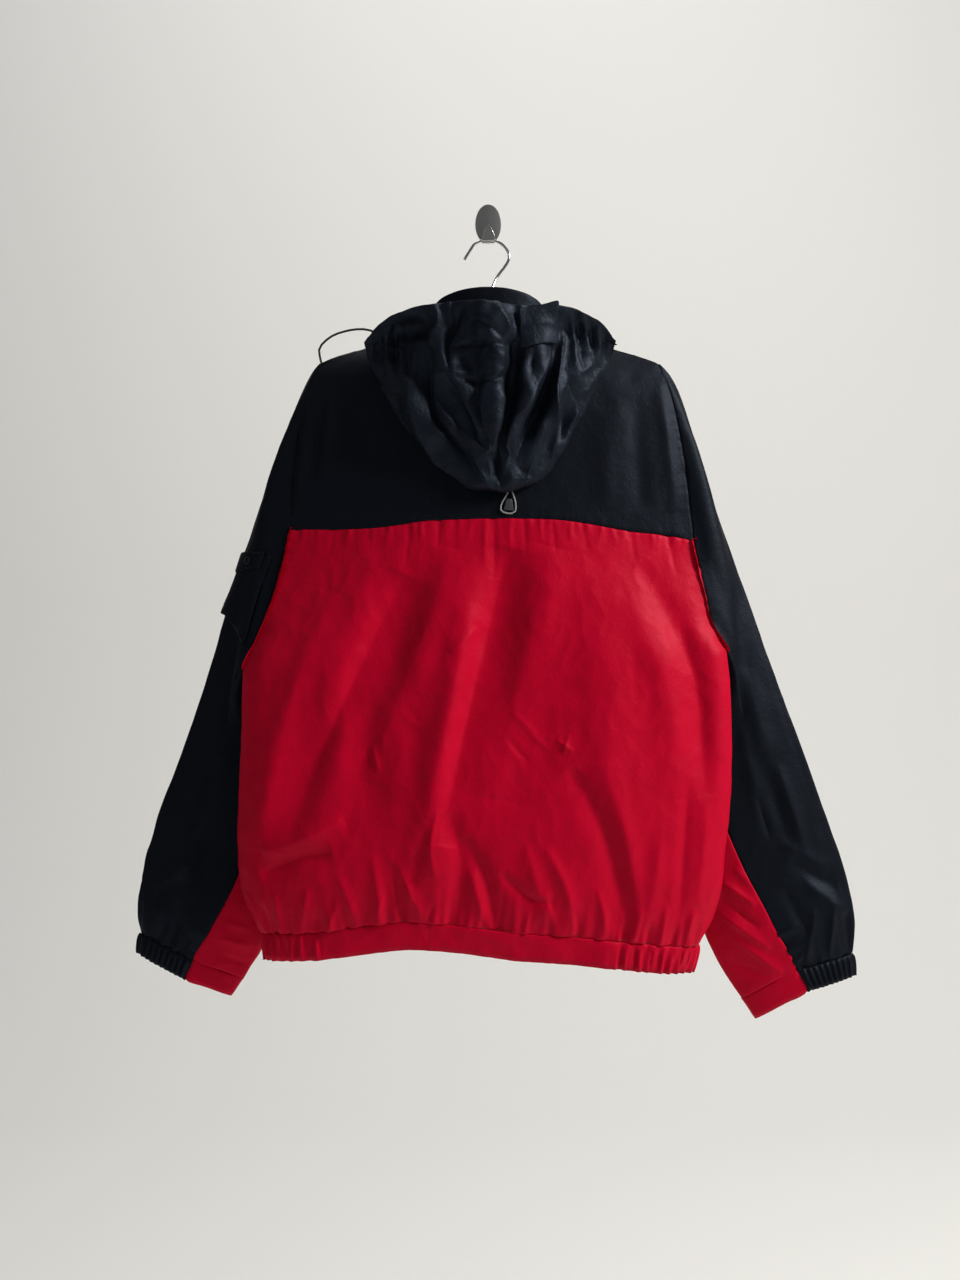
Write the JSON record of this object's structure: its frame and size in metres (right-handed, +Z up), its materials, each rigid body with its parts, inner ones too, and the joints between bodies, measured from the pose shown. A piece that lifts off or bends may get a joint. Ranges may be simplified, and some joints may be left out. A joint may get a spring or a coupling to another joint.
{
  "type": "hooded shell jacket on a wire-hook hanger and a stick-on wall hook",
  "caption": "Hooded nylon shell jacket with black yoke and sleeves over red panels, its hood puffed down the back, on a wire-hook hanger and a wall hook.",
  "frame": {"origin": "middle of the wall plate's back face, on the wall", "axes": "+Y into the wall, +Z up, +X to the viewer's right; the jacket's back faces -Y"},
  "size_m": [0.8069, 0.12, 0.917],
  "materials": {
    "black_nylon": "matt, slightly bluish black woven nylon",
    "black_hood_nylon": "smoother black nylon with a soft sheen",
    "red_nylon": "matt crimson woven nylon",
    "black_cord": "braided round cord",
    "pale_cord": "pale grey elastic cord",
    "rubber": "moulded, matt",
    "chrome": "bright plated wire and sheet",
    "steel": "satin sheet steel",
    "hanger_plastic": "smooth moulded"
  },
  "bodies": {
    "jacket": {"back_yoke": "black_nylon", "back_panel": "red_nylon", "front_yoke_left": "black_nylon", "front_yoke_right": "black_nylon", "front_panel_left": "red_nylon", "front_panel_right": "red_nylon", "front_zip": "black_nylon", "collar": "black_nylon", "sleeve_outer_left": "black_nylon", "sleeve_outer_right": "black_nylon", "sleeve_under_left": "red_nylon", "sleeve_under_right": "red_nylon", "cuff_outer_left": "black_nylon", "cuff_outer_right": "black_nylon", "cuff_under_left": "red_nylon", "cuff_under_right": "red_nylon", "hem_band": "red_nylon", "hood": "black_hood_nylon", "hood_tab": "black_hood_nylon", "sleeve_pocket": "black_nylon", "pocket_flap": "black_nylon", "pocket_snap": "steel", "hood_cord": "black_cord", "pull_loop": "pale_cord", "pull_grip": "rubber", "zip_slider": "chrome", "zip_bridge": "chrome", "hanger_arms": "hanger_plastic", "hanger_hook": "chrome", "wall_plate": "steel", "wall_tongue": "chrome"},
    "zip_pull_tab": {"zip_pull": "chrome"}
  },
  "joints": [
    {"name": "zip_pull_hinge", "type": "hinge", "parent": "jacket", "child": "zip_pull_tab", "pos_m": [0, -0.0059, -0.1292], "axis": [1, 0, 0], "range_deg": [0, 170]}
  ]
}
